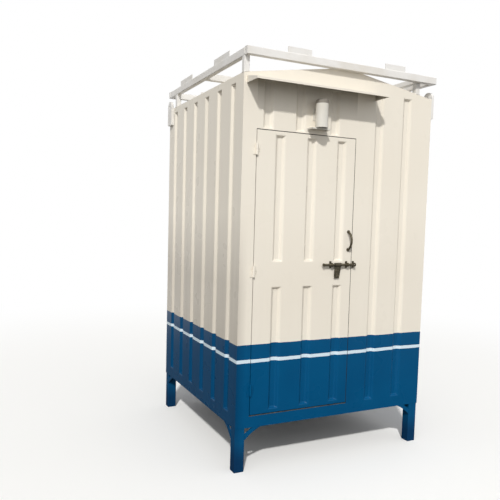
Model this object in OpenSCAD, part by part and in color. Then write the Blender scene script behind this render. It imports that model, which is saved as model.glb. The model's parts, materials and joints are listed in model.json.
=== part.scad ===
// Toilet cabin of pressed steel sheet on a welded tube frame.
// Drawn with X to the right along the front, Y to the rear and Z up from the ground.

/* [Cabin] */
// Width across the front
cabin_w = 1524; // [1400:4:1800]
// Depth from the front face to the rear face
cabin_d = 1468; // [1300:4:1800]
// Height from the ground to the underside of the cabin
leg_h = 292; // [220:2:450]
// Height from the ground to the eaves
eave_z = 2562; // [2500:2:2800]
// Rise of the ridge above the eaves
ridge_rise = 124; // [80:2:140]

/* [Frame steel] */
// Side of the square corner posts
post_side = 70; // [60:2:80]
// Wall of the square and rectangular tubes
tube_wall = 4; // [2:0.5:5]
// Height of the bottom rails
rail_h = 75; // [60:5:100]
// Depth of the bottom and top rails, front to back
rail_d = 50; // [40:2:60]
// Height of the top rails
top_rail_h = 40; // [30:2:40]
// Side of the ridge tube
ridge_side = 40; // [30:2:50]
// Thickness of the plates that close the feet and tops of the posts
cap_t = 6; // [4:1:10]
// Thickness of the floor plate
floor_t = 5; // [3:1:8]
// Side of the floor joists
joist_side = 50; // [40:2:60]
// Reach of a leg brace along the rail
brace_x = 118; // [90:2:150]
// Reach of a leg brace down the leg
brace_z = 80; // [60:2:110]
// Width of a leg brace, measured square to its slope
brace_w = 34; // [26:2:50]
// Bow of a leg brace's lower edge towards the corner
brace_bow = 8; // [4:1:12]
// Thickness of a leg brace
brace_t = 8; // [4:1:10]

/* [Pressed sheet] */
// Thickness of the wall and roof sheet
sheet_t = 2; // [1.5:0.5:4]
// Width of a pressed groove at the face of the sheet
groove_w = 72; // [60:2:90]
// Depth of a pressed groove
groove_depth = 18; // [10:1:24]
// Run of a groove's sloping side, for each unit of depth
groove_slope = 1; // [0.6:0.1:1.2]
// Run of a groove's steeper end, for each unit of depth
groove_end_slope = 0.45; // [0.3:0.05:1]
// Distance between the grooves of the side and rear walls
groove_pitch = 230; // [200:2:240]
// Least plain sheet between the outer grooves and the corners
groove_edge_gap = 75; // [74:1:110]
// Plain sheet between the grooves and the eaves
groove_top_gap = 42; // [42:2:90]
// Plain sheet between the grooves and the bottom rails
groove_foot_gap = 7; // [7:1:40]
// Plain sheet between the front grooves and the eaves
front_groove_top_gap = 20; // [20:2:60]
// Plain sheet between the doorway's head and the grooves over it
header_groove_gap = 8; // [4:1:60]
// Distance between the two grooves of the front panel
front_pitch = 242; // [220:2:260]
// Plain sheet between the front panel's edge and its first groove
front_margin = 160; // [120:5:180]
// From the left edge of the doorway to the middle of the first groove over it
header_groove_1 = 82; // [70:1:120]
// From the left edge of the doorway to the middle of the second groove
header_groove_2 = 320; // [220:1:340]
// From the right edge of the doorway to the middle of the last groove
header_groove_3 = 177; // [80:1:200]

/* [Doorway] */
// Plain front between the left corner and the doorway
door_left = 98; // [94:1:140]
// Width of the doorway
doorway_w = 766; // [650:2:820]
// Height from the floor to the head of the doorway
doorway_h = 1855; // [1700:5:1900]
// Width of the jambs and the head of the door frame
jamb_w = 40; // [30:2:50]
// Depth of the jambs and the head, front to back
jamb_d = 50; // [44:2:60]
// Width of the stop that the door closes against
stop_w = 18; // [12:1:24]
// Thickness of the stop
stop_t = 5; // [3:1:8]

/* [Door] */
// Clear gap round the door leaf, and behind it to the stop
door_gap = 5; // [4:0.5:8]
// Side of the square tube behind the door's sheet
leaf_tube = 22; // [20:1:22]
// Wall of the door's tube
leaf_wall = 2; // [1.5:0.5:3]
// Plain sheet between the hinged edge and the first groove of the door
leaf_groove_margin = 135; // [90:5:140]
// Distance between the grooves of the door
leaf_groove_pitch = 238; // [200:1:245]
// Height of the plain band across the middle of the door
leaf_band_h = 170; // [140:5:240]
// Height of the middle of that band above the foot of the door
leaf_band_z = 922; // [800:2:1000]
// Plain sheet between the grooves and the door's head and foot
leaf_groove_end = 25; // [25:1:60]

/* [Hinges] */
// Number of hinges
hinge_count = 3; // [2:1:4]
// Height of one hinge
hinge_h = 72; // [60:2:100]
// Radius of the knuckles
knuckle_r = 8; // [6:0.5:10]
// Radius of the hinge pins
pin_r = 5; // [4:0.5:5]
// Radial play of a pin in its knuckle
pin_play = 0.05; // [0.03:0.01:0.1]
// Width of a hinge leaf, from the pin's axis
leaf_plate_w = 24; // [18:1:28]
// Thickness of a hinge leaf
leaf_plate_t = 3; // [2:0.5:4]
// Height of the middle of the lowest hinge above the foot of the door
hinge_low = 165; // [120:5:250]
// Height of the middle of the highest hinge above the foot of the door
hinge_high = 1722; // [1600:2:1760]

/* [Bolt and handle] */
// Radius of the bolt's bar
bar_r = 8; // [6:0.5:9]
// Length of the bar
bar_l = 246; // [220:2:280]
// Distance from the door's face to the middle of the bar
bar_off = 20; // [18:1:26]
// Height of the bar above the foot of the door
bar_z = 982; // [900:2:1100]
// Distance that the bar slides
bar_stroke = 45; // [35:1:50]
// Radial play of the bar in its loops
bar_play = 0.9; // [0.2:0.1:0.9]
// Thickness of the metal round the bar in a loop
loop_t = 5; // [4:0.5:6]
// Length of a loop along the bar
loop_l = 10; // [8:1:14]
// Height of a loop's foot plate
loop_foot_h = 48; // [42:2:70]
// Thickness of a loop's foot plate
loop_foot_t = 3; // [2:0.5:4]
// Width of the hasp
hasp_w = 50; // [36:2:56]
// Length of the hasp below the bar
hasp_l = 94; // [80:2:110]
// Thickness of the hasp
hasp_t = 5; // [4:0.5:6]
// Lean of the hasp's foot towards the door, in degrees
hasp_lean = 7; // [0:1:7]
// Distance between the feet of the pull handle
handle_h = 124; // [110:2:160]
// Reach of the pull handle in front of the door
handle_reach = 50; // [40:2:54]
// Radius of the pull handle's rod
handle_r = 7.5; // [5:0.5:8]
// Distance from the door's free edge to the pull handle
handle_edge = 30; // [24:1:40]
// Height of the middle of the pull handle above the foot of the door
handle_z = 1146; // [1110:2:1180]

/* [Hood and lamp] */
// Length of the hood along the wall
hood_l = 995; // [900:5:1100]
// Distance from the cabin's left corner to the hood
hood_left = 20; // [10:2:60]
// Reach of the hood in front of the wall
hood_reach = 145; // [110:5:160]
// Drop from the eaves to the hood's open underside
hood_drop = 64; // [60:1:100]
// Height of the hood at the wall
hood_h = 46; // [40:2:60]
// Height of the hood's lip
hood_lip_h = 16; // [12:1:24]
// Thickness of the hood's sheet
hood_t = 2; // [1.5:0.5:4]
// Distance from the cabin's left corner to the middle of the lamp
lamp_x = 539; // [480:1:600]
// Radius of the lamp's barrel
lamp_r = 42; // [36:1:46]
// Gap between the lamp and the wall
lamp_gap = 18; // [12:1:24]
// Height of the lamp's barrel
lamp_h = 182; // [150:2:190]
// Width of the shelf under the lamp
shelf_w = 140; // [100:2:150]
// Reach of the shelf in front of the wall
shelf_reach = 62; // [50:1:70]
// Height of the shelf's folded rim
shelf_rim = 10; // [8:1:16]
// Clear height between the doorway's head and the shelf
lamp_clear = 25; // [10:1:30]

/* [Tank frame] */
// Height of the tank frame above the eaves
tank_rise = 153; // [150:1:300]
// Height of the frame's tubes
tank_tube_h = 50; // [40:2:50]
// Depth of the frame's tubes, and side of its posts
tank_tube_d = 38; // [30:1:45]
// Wall of the frame's tubes
tank_wall = 3; // [2:0.5:4]
// Distance from the right corner to the middle of the inner bearer
bearer_inset = 135; // [100:5:200]
// Distance from the rear face to the middle of the rear posts
rear_post_inset = 154; // [100:2:200]
// Thickness of the cleats that keep a tank in place
cleat_t = 5; // [4:1:8]
// Height of the cleats
cleat_h = 38; // [25:1:50]
// Length of the cleats on the front and rear tubes
end_cleat_l = 176; // [120:2:200]
// Length of the cleats on the side tubes
side_cleat_l = 265; // [200:5:300]
// Distance from the middle to each cleat on the front and rear tubes
end_cleat_x = 386; // [300:2:450]
// Distance from the middle to each cleat on the side tubes
side_cleat_y = 354; // [300:2:420]

/* [Lifting lugs] */
// Width of a lug
lug_w = 90; // [70:2:100]
// Height of a lug
lug_h = 196; // [180:2:240]
// Thickness of a lug
lug_t = 20; // [12:1:24]
// Height of a lug above the eaves
lug_rise = 60; // [50:2:90]
// Radius of the lifting eye
eye_r = 11; // [8:1:16]

/* [Hidden] */

cream = "#e8e1d2";
blue = "#0a4e78";
frame_white = "#e6e2dc";
dark_metal = "#4a4334";

eps = 1;
left = -cabin_w / 2;
right = cabin_w / 2;
front = -cabin_d / 2;
rear = cabin_d / 2;
roof_slope = ridge_rise / (cabin_w / 2);
rail_top = leg_h + rail_h;
floor_top = rail_top + floor_t;

door_x0 = left + door_left;
door_x1 = door_x0 + doorway_w;
door_z0 = floor_top;
door_z1 = door_z0 + doorway_h;
leaf_w = doorway_w - 2 * door_gap;
leaf_h = doorway_h - 2 * door_gap;
leaf_x0 = door_x0 + door_gap;
leaf_x1 = leaf_x0 + leaf_w;
leaf_z0 = door_z0 + door_gap;
leaf_z1 = leaf_z0 + leaf_h;
leaf_t = sheet_t + leaf_tube;

knuckle_gap = 0.5;
hinge_x = leaf_x0 - door_gap / 2;
hinge_y = front - knuckle_r - knuckle_gap;
hinge_step = (hinge_high - hinge_low) / (hinge_count - 1);

bar_y = front - bar_off;
bolt_z = leaf_z0 + bar_z;
keeper_x = door_x1 + 6 + loop_l / 2;
bar_tip = keeper_x - loop_l / 2 - door_gap;
loop_right_x = leaf_x1 - 41;
hasp_x = loop_right_x - loop_l / 2 - door_gap - hasp_w / 2 - bar_stroke;
loop_left_x = bar_tip - bar_l + bar_stroke + 24;
bore_r = bar_r + bar_play;
loop_r = bore_r + loop_t;

hood_z = eave_z - hood_drop;
lamp_z0 = door_z1 + lamp_clear;
lamp_cx = left + lamp_x;
lamp_cy = front - lamp_gap - lamp_r;
tank_top = eave_z + tank_rise;
tank_z0 = tank_top - tank_tube_h;
lug_z1 = eave_z + lug_rise;

front_reach = cabin_d / 2 + hood_reach;
rear_reach = cabin_d / 2 + tank_tube_d;
origin_shift = (front_reach - rear_reach) / 2;

// Moves a piece from the cabin's middle to the middle of everything that shows.
module placed() {
    translate([0, origin_shift, 0]) children();
}

// Box between two corners.
module box(lo, hi) {
    translate(lo) cube(hi - lo);
}

// Outside radius of the rolled corners of a tube with a given wall.
function tube_corner(wall) = 1.5 * wall;

// Rectangle with rounded corners, from the origin.
module rounded_rectangle(size, r) {
    translate([r, 0]) square([size[0] - 2 * r, size[1]]);
    translate([0, r]) square([size[0], size[1] - 2 * r]);
    for (x = [r, size[0] - r], y = [r, size[1] - r])
        translate([x, y]) circle(r = r, $fn = 32);
}

// Rectangular tube between two corners, open at both ends along axis 0, 1 or 2.
module tube(lo, hi, wall, axis) {
    size = hi - lo;
    section = [[size[1], size[2]], [size[0], size[2]], [size[0], size[1]]][axis];
    turn = [[90, 0, 90], [-90, 0, 0], [0, 0, 0]][axis];
    lift = [0, size[2], 0][axis];
    translate(lo + [0, 0, lift])
        rotate(turn)
            difference() {
                linear_extrude(height = size[axis])
                    rounded_rectangle(section, tube_corner(wall));
                box([wall, wall, -eps], [section[0] - wall, section[1] - wall, size[axis] + eps]);
            }
}

// Closed hollow post.
module capped_tube(lo, hi, wall, cap) {
    size = hi - lo;
    translate(lo)
        difference() {
            linear_extrude(height = size[2])
                rounded_rectangle([size[0], size[1]], tube_corner(wall));
            box([wall, wall, cap], size - [wall, wall, cap]);
        }
}

// Block with sloping sides and steeper ends: the shape that a press tool leaves in a sheet.
module press_form(x0, x1, z0, z1, depth) {
    side = depth * groove_slope;
    end = depth * groove_end_slope;
    intersection() {
        translate([0, 0, z0])
            linear_extrude(height = z1 - z0)
                polygon([[x0, 0], [x1, 0], [x1 - side, depth], [x0 + side, depth]]);
        translate([x0, 0, 0])
            rotate([90, 0, 90])
                linear_extrude(height = x1 - x0)
                    polygon([[0, z0], [0, z1], [depth, z1 - end], [depth, z0 + end]]);
    }
}

// Sheet facing -Y with pressed grooves, each given as [x0, x1, z0, z1].
module pressed_sheet(x0, x1, z0, z1, grooves) {
    grow_x = sheet_t * norm([1, groove_slope]);
    grow_z = sheet_t * norm([1, groove_end_slope]);
    cut_x = eps * groove_slope;
    cut_z = eps * groove_end_slope;
    difference() {
        union() {
            box([x0, 0, z0], [x1, sheet_t, z1]);
            for (g = grooves)
                press_form(g[0] - grow_x, g[1] + grow_x, g[2] - grow_z, g[3] + grow_z,
                           groove_depth + sheet_t);
        }
        for (g = grooves)
            translate([0, -eps, 0])
                press_form(g[0] - cut_x, g[1] + cut_x, g[2] - cut_z, g[3] + cut_z,
                           groove_depth + eps);
    }
}

// Number of grooves, a pitch apart, that fit side by side in a width.
function groove_count(width, pitch) = floor((width - groove_w) / pitch) + 1;

// Wall sheet of a given width, facing -Y and centred on x = 0, with full-height grooves.
module wall_sheet(width) {
    count = groove_count(width - 2 * groove_edge_gap, groove_pitch);
    x0 = -((count - 1) * groove_pitch + groove_w) / 2;
    pressed_sheet(-width / 2, width / 2, leg_h, eave_z, [
        for (i = [0 : count - 1])
            [x0 + i * groove_pitch, x0 + i * groove_pitch + groove_w,
             rail_top + groove_foot_gap, eave_z - groove_top_gap]
    ]);
}

module corner_post(sx, sy) {
    cx = sx * (cabin_w / 2 - sheet_t - post_side / 2);
    cy = sy * (cabin_d / 2 - sheet_t - post_side / 2);
    half = post_side / 2;
    color(blue)
        capped_tube([cx - half, cy - half, 0], [cx + half, cy + half, eave_z], tube_wall, cap_t);
}

module post_front_left() { corner_post(-1, -1); }
module post_front_right() { corner_post(1, -1); }
module post_rear_left() { corner_post(-1, 1); }
module post_rear_right() { corner_post(1, 1); }

inner_x = cabin_w / 2 - sheet_t;
inner_y = cabin_d / 2 - sheet_t;
rail_x = inner_x - post_side;
rail_y = inner_y - post_side;
recess_y = -inner_y + groove_depth;

module bottom_rail_front() {
    color(blue) {
        tube([-rail_x, -inner_y, leg_h], [rail_x, -inner_y + rail_d, rail_top], tube_wall, 0);
        box([door_x0, front, leg_h], [door_x1, front + sheet_t, rail_top]);
    }
}

module bottom_rail_rear() {
    color(blue) tube([-rail_x, inner_y - rail_d, leg_h], [rail_x, inner_y, rail_top], tube_wall, 0);
}

module side_rail(side, z0, z1) {
    x0 = side < 0 ? -inner_x : inner_x - rail_d;
    tube([x0, -rail_y, z0], [x0 + rail_d, rail_y, z1], tube_wall, 1);
}

module bottom_rail_left() { color(blue) side_rail(-1, leg_h, rail_top); }
module bottom_rail_right() { color(blue) side_rail(1, leg_h, rail_top); }

// The front rail stands back, behind the grooves that run up past it.
module top_rails() {
    z0 = eave_z - top_rail_h;
    color(cream) {
        side_rail(-1, z0, eave_z);
        side_rail(1, z0, eave_z);
        tube([-rail_x, recess_y, z0], [rail_x, recess_y + rail_d, eave_z], tube_wall, 0);
        tube([-rail_x, inner_y - rail_d, z0], [rail_x, inner_y, eave_z], tube_wall, 0);
    }
}

module floor_joists() {
    joist_x = inner_x - rail_d;
    color(blue)
        for (y = [-cabin_d / 6, cabin_d / 6])
            tube([-joist_x, y - joist_side / 2, rail_top - joist_side],
                 [joist_x, y + joist_side / 2, rail_top], tube_wall, 0);
}

// Plate on the rails, notched round the corner posts.
module floor_plate() {
    color("#8a8c8c")
        difference() {
            box([-inner_x, -inner_y, rail_top], [inner_x, inner_y, floor_top]);
            for (sx = [-1, 1], sy = [-1, 1])
                translate([sx * inner_x, sy * inner_y, rail_top])
                    cube([2 * post_side, 2 * post_side, 4 * floor_t], center = true);
        }
}

// One flat brace in the XZ plane, from the rail's underside to the leg at x = 0.
module leg_brace() {
    slope_l = norm([brace_x, brace_z]);
    in_x = brace_x - brace_w * slope_l / brace_z;
    in_z = brace_z - brace_w * slope_l / brace_x;
    bow_r = (pow(slope_l / 2, 2) + pow(brace_bow, 2)) / (2 * brace_bow);
    out = bow_r - brace_bow;
    rotate([90, 0, 0])
        linear_extrude(height = brace_t)
            difference() {
                polygon([[brace_x, 0], [in_x, 0], [0, -in_z], [0, -brace_z]]);
                translate([brace_x / 2 + out * brace_z / slope_l,
                           -brace_z / 2 - out * brace_x / slope_l])
                    circle(r = bow_r, $fn = 180);
            }
}

module leg_braces() {
    color(blue)
        for (sx = [0, 1], sy = [0, 1])
            mirror([sx, 0, 0])
                mirror([0, sy, 0]) {
                    translate([-rail_x, -inner_y + brace_t, leg_h]) leg_brace();
                    translate([-inner_x, -rail_y, leg_h])
                        rotate([0, 0, 90]) leg_brace();
                }
}

module left_wall() {
    color(cream) translate([left, 0, 0]) rotate([0, 0, -90]) wall_sheet(cabin_d);
}

module right_wall() {
    color(cream) translate([right, 0, 0]) rotate([0, 0, 90]) wall_sheet(cabin_d);
}

module rear_wall() {
    color(cream)
        translate([0, rear, 0]) rotate([0, 0, 180]) wall_sheet(2 * inner_x);
}

// Narrow plain strip between the left corner and the doorway.
module front_strip() {
    color(cream) box([-inner_x, front, leg_h], [door_x0, front + sheet_t, eave_z]);
}

module front_panel() {
    g0 = door_x1 + front_margin;
    count = groove_count(inner_x - post_side - g0, front_pitch);
    color(cream)
        translate([0, front, 0])
            pressed_sheet(door_x1, inner_x, leg_h, eave_z, [
                for (i = [0 : count - 1])
                    [g0 + i * front_pitch, g0 + i * front_pitch + groove_w,
                     rail_top + groove_foot_gap, eave_z - front_groove_top_gap]
            ]);
}

module front_header() {
    color(cream)
        translate([0, front, 0])
            pressed_sheet(door_x0, door_x1, door_z1, eave_z, [
                for (x = [door_x0 + header_groove_1, door_x0 + header_groove_2,
                          door_x1 - header_groove_3])
                    [x - groove_w / 2, x + groove_w / 2,
                     door_z1 + header_groove_gap, eave_z - front_groove_top_gap]
            ]);
}

// Triangle under the roof.
module gable_plate(y0) {
    color(cream)
        translate([0, y0 + sheet_t, 0])
            rotate([90, 0, 0])
                linear_extrude(height = sheet_t)
                    polygon([[-inner_x, eave_z], [inner_x, eave_z],
                             [inner_x, eave_z + sheet_t * roof_slope],
                             [0, eave_z + ridge_rise],
                             [-inner_x, eave_z + sheet_t * roof_slope]]);
}

module front_gable() { gable_plate(front); }
module rear_gable() { gable_plate(inner_y); }

module roof_left() {
    color(cream)
        translate([0, rear, 0])
            rotate([90, 0, 0])
                linear_extrude(height = cabin_d)
                    polygon([[left, eave_z], [0, eave_z + ridge_rise],
                             [0, eave_z + ridge_rise + sheet_t], [left, eave_z + sheet_t]]);
}

module roof_right() { mirror([1, 0, 0]) roof_left(); }

// Tube under the ridge, whose rounded corners touch both sheets of the roof.
module ridge_tube() {
    half = ridge_side / 2;
    r = tube_corner(tube_wall);
    drop = (half - r) * roof_slope + r * (norm([1, roof_slope]) - 1);
    top = eave_z + ridge_rise - drop;
    color(cream)
        tube([-half, -inner_y, top - ridge_side], [half, inner_y, top], tube_wall, 1);
}

// Jambs and head, with the stop that the door closes against.
module door_frame() {
    y0 = -inner_y;
    y1 = y0 + jamb_d;
    stop_y = front + leaf_t + door_gap;
    z0 = floor_top;
    color(cream) {
        tube([-rail_x, y0, z0], [door_x0, y1, door_z1], tube_wall, 2);
        tube([door_x1, y0, z0], [door_x1 + jamb_w, y1, door_z1], tube_wall, 2);
        tube([-rail_x, recess_y, door_z1], [door_x1 + jamb_w, recess_y + jamb_d, door_z1 + jamb_w],
             tube_wall, 0);
        box([door_x0 - eps, stop_y, z0], [door_x0 + stop_w, stop_y + stop_t, door_z1]);
        box([door_x1 - stop_w, stop_y, z0], [door_x1 + eps, stop_y + stop_t, door_z1]);
        box([door_x0, stop_y, door_z1 - stop_w], [door_x1, stop_y + stop_t, door_z1 + eps]);
    }
}

// Sloping hood with end cheeks, folded from sheet and open underneath and at the wall.
module hood() {
    y = -hood_reach;
    color(cream)
        translate([left + hood_left, front, hood_z])
            rotate([90, 0, 90])
                difference() {
                    linear_extrude(height = hood_l)
                        polygon([[0, 0], [y, 0], [y, hood_lip_h], [0, hood_h]]);
                    translate([0, 0, hood_t])
                        linear_extrude(height = hood_l - 2 * hood_t)
                            polygon([[eps, -eps], [y + hood_t, -eps],
                                     [y + hood_t, hood_lip_h - hood_t],
                                     [0, hood_h - hood_t], [eps, hood_h - hood_t]]);
                }
}

module lamp_bracket() {
    z = lamp_z0 + shelf_rim + lamp_h / 2;
    color(frame_white) {
        box([lamp_cx - 30, front - 4, z - 40], [lamp_cx + 30, front, z + 40]);
        difference() {
            box([lamp_cx - 12, lamp_cy, z - 12], [lamp_cx + 12, front - 3, z + 12]);
            translate([lamp_cx, lamp_cy, z - 20]) cylinder(r = lamp_r, h = 40, $fn = 96);
        }
    }
}

// Can with its open end down.
module lamp_barrel() {
    t = 2;
    color(frame_white)
        translate([lamp_cx, lamp_cy, lamp_z0 + shelf_rim])
            rotate_extrude($fn = 96)
                polygon([[lamp_r - t, 0], [lamp_r, 0], [lamp_r, lamp_h - 8], [lamp_r - 8, lamp_h],
                         [0, lamp_h], [0, lamp_h - t], [lamp_r - 9, lamp_h - t],
                         [lamp_r - t, lamp_h - 9]]);
}

// Shelf under the lamp, with a rim folded down at its front and sides.
module lamp_collar() {
    t = 3;
    x0 = lamp_cx - shelf_w / 2;
    y0 = front - shelf_reach;
    color(frame_white)
        difference() {
            box([x0, y0, lamp_z0], [x0 + shelf_w, front, lamp_z0 + shelf_rim]);
            box([x0 + t, y0 + t, lamp_z0 - eps],
                [x0 + shelf_w - t, front + eps, lamp_z0 + shelf_rim - t]);
        }
}

module tank_end_tubes() {
    color(frame_white) {
        tube([left, front - tank_tube_d, tank_z0], [right, front, tank_top], tank_wall, 0);
        tube([left, rear, tank_z0], [right, rear + tank_tube_d, tank_top], tank_wall, 0);
    }
}

module tank_side_tubes() {
    color(frame_white)
        for (x = [left, right - tank_tube_d])
            tube([x, front, tank_z0], [x + tank_tube_d, rear, tank_top], tank_wall, 1);
}

// Everything under the outer surface of the roof, down to the eaves.
module roof_volume() {
    translate([0, rear + eps, 0])
        rotate([90, 0, 0])
            linear_extrude(height = cabin_d + 2 * eps)
                polygon([[left - eps, eave_z - 10], [right + eps, eave_z - 10],
                         [right + eps, eave_z + sheet_t - eps * roof_slope],
                         [0, eave_z + ridge_rise + sheet_t],
                         [left - eps, eave_z + sheet_t - eps * roof_slope]]);
}

// Tube across the middle, notched where it rides over the ridge.
module tank_cross_tube() {
    half = tank_tube_d / 2;
    x = cabin_w / 2 - tank_tube_d;
    color(frame_white)
        difference() {
            tube([-x, -half, tank_z0], [x, half, tank_top], tank_wall, 0);
            roof_volume();
        }
}

// Bearers under the right edge of a tank, from the end tubes to the cross tube.
module tank_bearers() {
    half = tank_tube_d / 2;
    cx = right - bearer_inset;
    color(frame_white) {
        tube([cx - half, front, tank_z0], [cx + half, -half, tank_z0 + tank_tube_d], tank_wall, 1);
        tube([cx - half, half, tank_z0], [cx + half, rear, tank_z0 + tank_tube_d], tank_wall, 1);
    }
}

// Posts that stand on the roof and carry the tank frame.
module tank_posts() {
    half = tank_tube_d / 2;
    x_left = left + half;
    x_right = right - bearer_inset;
    y_front = front + half;
    y_rear = rear - rear_post_inset;
    color(frame_white)
        difference() {
            for (p = [[x_left, y_front], [x_right, y_front], [x_left, y_rear], [x_right, y_rear]])
                tube([p[0] - half, p[1] - half, eave_z], [p[0] + half, p[1] + half, tank_z0],
                     tank_wall, 2);
            roof_volume();
        }
}

// Cleats that stand on the flat of the frame's tubes, beside the rounded outer corner.
module tank_cleats() {
    z = tank_top;
    r = tube_corner(tank_wall);
    x_out = cabin_w / 2 - r;
    y_out = cabin_d / 2 + tank_tube_d - r;
    color(frame_white) {
        for (x = [-end_cleat_x, end_cleat_x], y = [-y_out, y_out - cleat_t])
            box([x - end_cleat_l / 2, y, z], [x + end_cleat_l / 2, y + cleat_t, z + cleat_h]);
        for (x = [-x_out, x_out - cleat_t], y = [-side_cleat_y, side_cleat_y])
            box([x, y - side_cleat_l / 2, z], [x + cleat_t, y + side_cleat_l / 2, z + cleat_h]);
    }
}

// Lug in the YZ plane with a round head and an eye, its outer edge at y = 0.
module lug() {
    rotate([90, 0, 90])
        difference() {
            union() {
                translate([0, lug_z1 - lug_h, 0]) cube([lug_w, lug_h - lug_w / 2, lug_t]);
                translate([lug_w / 2, lug_z1 - lug_w / 2, 0])
                    cylinder(r = lug_w / 2, h = lug_t, $fn = 96);
            }
            translate([lug_w / 2, lug_z1 - lug_w / 2, -eps])
                cylinder(r = eye_r, h = lug_t + 2 * eps, $fn = 64);
        }
}

module lifting_lugs() {
    color(cream) {
        translate([right, front, 0]) lug();
        translate([left - lug_t, rear - lug_w, 0]) lug();
    }
}

// Height of the middle of hinge i.
function hinge_z(i) = leaf_z0 + hinge_low + i * hinge_step;

// Lower knuckles and their pins, welded to the door frame.
module hinges_frame_half() {
    color(cream)
        for (i = [0 : hinge_count - 1])
            translate([hinge_x, hinge_y, hinge_z(i)]) {
                translate([0, 0, -hinge_h / 2]) cylinder(r = knuckle_r, h = hinge_h / 2, $fn = 48);
                cylinder(r = pin_r, h = hinge_h / 2 - 4, $fn = 48);
                translate([-leaf_plate_w, knuckle_r + knuckle_gap - leaf_plate_t, -hinge_h / 2])
                    cube([leaf_plate_w, leaf_plate_t, hinge_h / 2]);
            }
}

// Upper knuckles that drop over the pins, welded to the door.
module hinges_door_half() {
    color(cream)
        for (i = [0 : hinge_count - 1])
            translate([hinge_x, hinge_y, hinge_z(i) + knuckle_gap])
                difference() {
                    union() {
                        cylinder(r = knuckle_r, h = hinge_h / 2, $fn = 48);
                        translate([0, knuckle_r + knuckle_gap - leaf_plate_t, 0])
                            cube([leaf_plate_w, leaf_plate_t, hinge_h / 2]);
                    }
                    translate([0, 0, -eps])
                        cylinder(r = pin_r + pin_play, h = hinge_h / 2 - 3 + eps, $fn = 48);
                }
}

// Square tube round the back of the door's sheet, with a rail behind the plain band.
module door_leaf_frame() {
    y0 = front + sheet_t;
    y1 = y0 + leaf_tube;
    band = leaf_z0 + leaf_band_z;
    half = leaf_tube / 2;
    color(cream) {
        difference() {
            box([leaf_x0, y0, leaf_z0], [leaf_x1, y1, leaf_z1]);
            box([leaf_x0 + leaf_tube, y0 - eps, leaf_z0 + leaf_tube],
                [leaf_x1 - leaf_tube, y1 + eps, leaf_z1 - leaf_tube]);
            for (x = [leaf_x0, leaf_x1 - leaf_tube])
                box([x + leaf_wall, y0 + leaf_wall, leaf_z0 + leaf_wall],
                    [x + leaf_tube - leaf_wall, y1 - leaf_wall, leaf_z1 - leaf_wall]);
            for (z = [leaf_z0, leaf_z1 - leaf_tube])
                box([leaf_x0 + leaf_tube - eps, y0 + leaf_wall, z + leaf_wall],
                    [leaf_x1 - leaf_tube + eps, y1 - leaf_wall, z + leaf_tube - leaf_wall]);
        }
        tube([leaf_x0 + leaf_tube, y0, band - half], [leaf_x1 - leaf_tube, y1, band + half],
             leaf_wall, 0);
    }
}

module door_skin() {
    band = leaf_z0 + leaf_band_z;
    rows = [[leaf_z0 + leaf_groove_end, band - leaf_band_h / 2],
            [band + leaf_band_h / 2, leaf_z1 - leaf_groove_end]];
    x = leaf_x0 + leaf_groove_margin;
    count = groove_count(leaf_x1 - leaf_tube - x, leaf_groove_pitch);
    color(cream)
        translate([0, front, 0])
            pressed_sheet(leaf_x0, leaf_x1, leaf_z0, leaf_z1, [
                for (r = rows, i = [0 : count - 1])
                    [x + i * leaf_groove_pitch, x + i * leaf_groove_pitch + groove_w, r[0], r[1]]
            ]);
}

// Bowed rod with two round feet.
module pull_handle() {
    half = handle_h / 2;
    reach = handle_reach - handle_r;
    bend = (half * half + reach * reach) / (2 * reach);
    color(dark_metal)
        translate([leaf_x1 - handle_edge, front, leaf_z0 + handle_z]) {
            intersection() {
                translate([0, bend - reach, 0])
                    rotate([0, 90, 0])
                        rotate([0, 0, 180])
                            rotate_extrude($fn = 96)
                                translate([bend, 0]) circle(r = handle_r, $fn = 32);
                box([-handle_edge, -handle_reach - eps, -half - 2 * handle_r],
                    [handle_edge, 0, half + 2 * handle_r]);
            }
            for (z = [-half, half])
                translate([0, 0, z])
                    rotate([90, 0, 0]) cylinder(r = 1.6 * handle_r, h = 4, $fn = 48);
        }
}

// Loop for the bar, on a foot plate against the plane y = front.
module bar_loop(x) {
    translate([x - loop_l / 2, 0, bolt_z]) {
        difference() {
            union() {
                translate([0, bar_y, 0]) rotate([0, 90, 0]) cylinder(r = loop_r, h = loop_l, $fn = 64);
                box([0, bar_y, -loop_r], [loop_l, front - loop_foot_t + 0.5, loop_r]);
            }
            translate([-eps, bar_y, 0])
                rotate([0, 90, 0]) cylinder(r = bore_r, h = loop_l + 2 * eps, $fn = 64);
        }
        box([-3, front - loop_foot_t, -loop_foot_h / 2], [loop_l + 3, front, loop_foot_h / 2]);
    }
}

module bolt_loops() {
    color(dark_metal) {
        bar_loop(loop_left_x);
        bar_loop(loop_right_x);
    }
}

module bolt_keeper() { color(dark_metal) bar_loop(keeper_x); }

module bolt_bar() {
    x0 = bar_tip - bar_l;
    color(dark_metal)
        translate([x0, bar_y, bolt_z])
            rotate([0, 90, 0])
                rotate_extrude($fn = 64)
                    polygon([[0, 0], [bar_r + 3, 0], [bar_r + 3, 8], [bar_r, 8],
                             [bar_r, bar_l - 4], [bar_r - 4, bar_l], [0, bar_l]]);
}

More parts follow.
